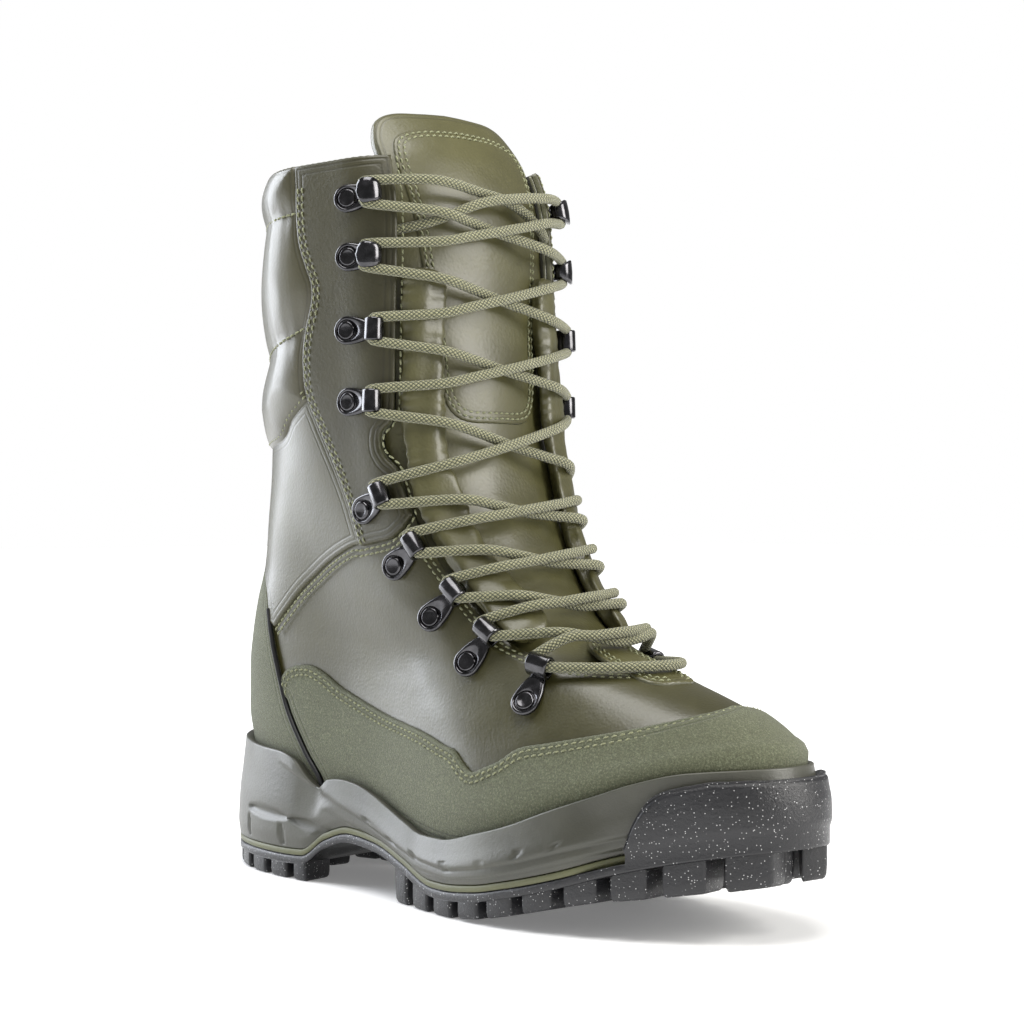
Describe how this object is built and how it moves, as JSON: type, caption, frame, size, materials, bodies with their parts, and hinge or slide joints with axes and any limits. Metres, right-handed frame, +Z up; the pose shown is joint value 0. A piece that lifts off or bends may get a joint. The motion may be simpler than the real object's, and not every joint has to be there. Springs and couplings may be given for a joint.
{
  "type": "winter tactical boot",
  "caption": "High lace-up winter boot for the right foot: hollow leather upper, padded collar, raised eyestays with speed hooks and loop eyelets, rough toe rand, cup midsole and lugged rubber outsole",
  "frame": {"origin": "the heel's resting spot, on the flat face under the centre heel lug, on the floor", "axes": "+X to the toe, +Y to the wearer's left, which is the inner side, +Z up"},
  "size_m": [0.3091, 0.1168, 0.3114],
  "materials": {
    "leather": "semi-gloss olive leather",
    "suede": "rough speckled grey-green suede-like leather",
    "padding": "quilted padded olive leather over foam",
    "midsole": "matt grey-green moulded foam rubber",
    "strip": "matt olive rubber",
    "rubber": "matt black rubber with pale specks",
    "lining": "woven lining",
    "gunmetal": "glossy dark gunmetal plating",
    "cord": "round braided cord in tan and dark green"
  },
  "bodies": {
    "root": {"outsole": "rubber", "midsole_strip": "strip", "midsole": "midsole", "insole": "lining", "upper": "leather", "toe_rand": "suede", "heel_counter": "suede", "quarter_right": "leather", "quarter_left": "leather", "eyestay_right": "leather", "eyestay_left": "leather", "collar_pad": "padding", "tongue": "leather", "gusset_right": "leather", "gusset_left": "leather", "hook_row1_right": "gunmetal", "hook_row1_left": "gunmetal", "hook_row2_right": "gunmetal", "hook_row2_left": "gunmetal", "loop_row3_right": "gunmetal", "loop_row3_left": "gunmetal", "loop_row4_right": "gunmetal", "loop_row4_left": "gunmetal", "loop_row5_right": "gunmetal", "loop_row5_left": "gunmetal", "loop_row6_right": "gunmetal", "loop_row6_left": "gunmetal", "loop_row7_right": "gunmetal", "loop_row7_left": "gunmetal", "loop_row8_right": "gunmetal", "loop_row8_left": "gunmetal", "loop_row9_right": "gunmetal", "loop_row9_left": "gunmetal", "lace_cross_1": "cord", "lace_cross_2": "cord", "lace_cross_3": "cord", "lace_cross_4": "cord", "lace_cross_5": "cord", "lace_cross_6": "cord", "lace_cross_7": "cord", "lace_cross_8": "cord", "lace_bar": "cord"}
  },
  "joints": []
}
